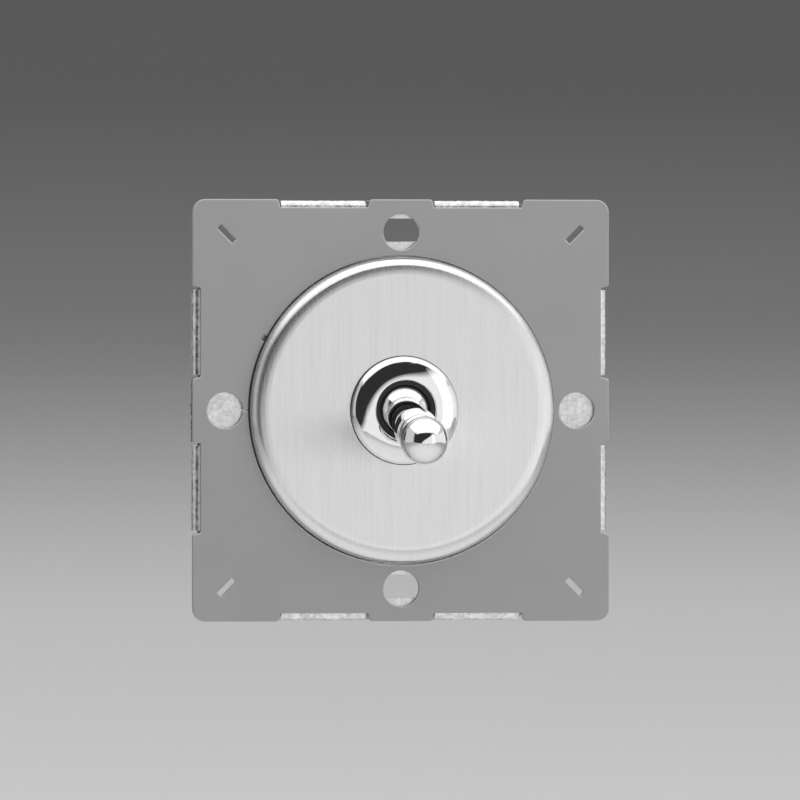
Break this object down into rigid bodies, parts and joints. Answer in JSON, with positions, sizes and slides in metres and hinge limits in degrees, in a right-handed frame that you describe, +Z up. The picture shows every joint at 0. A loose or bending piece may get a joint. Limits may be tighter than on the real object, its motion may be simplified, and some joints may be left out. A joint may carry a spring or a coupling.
{
  "type": "toggle light switch",
  "caption": "Toggle light switch on a square steel support plate, with a brushed round face disc, polished dome bezel and ball-tipped lever over a two-way rocker mechanism.",
  "frame": {"origin": "centre of the wall contact face of the mounting frame", "axes": "+X right and +Z up as seen from the front, +Y into the wall"},
  "size_m": [0.071, 0.0562, 0.071],
  "materials": {
    "satin_plate": "satin grey plated sheet",
    "galvanised": "bright galvanised sheet",
    "brushed_face": "vertical brushed grain",
    "chrome": "polished",
    "black_moulding": "fine moulded texture",
    "grey_moulding": "fine moulded texture",
    "nylon": "smooth",
    "brass": "bright",
    "silver": "silver contact metal",
    "zinc_steel": "bright zinc plated"
  },
  "bodies": {
    "switch_base": {"front_plate": "satin_plate", "mounting_frame": "galvanised", "face_disc": "brushed_face", "bezel_ring": "chrome", "mechanism_cover": "black_moulding", "mechanism_housing": "grey_moulding", "housing_screws": "zinc_steel", "frame_rivets": "zinc_steel", "pivot_pin": "zinc_steel", "fixed_contact_tips": "silver", "upper_contact_plate": "brass", "lower_contact_plate": "brass", "common_contact_plate": "brass", "common_terminal_block": "brass", "upper_terminal_block": "brass", "lower_terminal_block": "brass", "terminal_screws": "zinc_steel", "earth_clamp": "zinc_steel", "earth_screw": "zinc_steel"},
    "lever": {"toggle_lever": "chrome", "lever_actuator": "black_moulding", "plunger_spring": "zinc_steel"},
    "plunger": {"spring_plunger": "nylon"},
    "rocker": {"contact_rocker": "brass", "rocker_contact_tips": "silver"}
  },
  "joints": [
    {"name": "toggle_hinge", "type": "hinge", "parent": "switch_base", "child": "lever", "pos_m": [0, -0.00483, 0], "axis": [-1, 0, 0], "range_deg": [0, 24.4]},
    {"name": "rocker_hinge", "type": "hinge", "parent": "switch_base", "child": "rocker", "pos_m": [0, 0.01161, 0], "axis": [1, 0, 0], "range_deg": [0, 8.54]},
    {"name": "plunger_slide", "type": "slide", "parent": "lever", "child": "plunger", "axis": [0, -0.9774, -0.2113], "range_m": [0, 0.0008], "stiffness_N_per_m": 600, "springref_m": -0.003, "deforming": ["plunger_spring"]}
  ],
  "couplings": [
    {"joint": "rocker_hinge", "follows": "toggle_hinge", "ratio": 0.35}
  ]
}
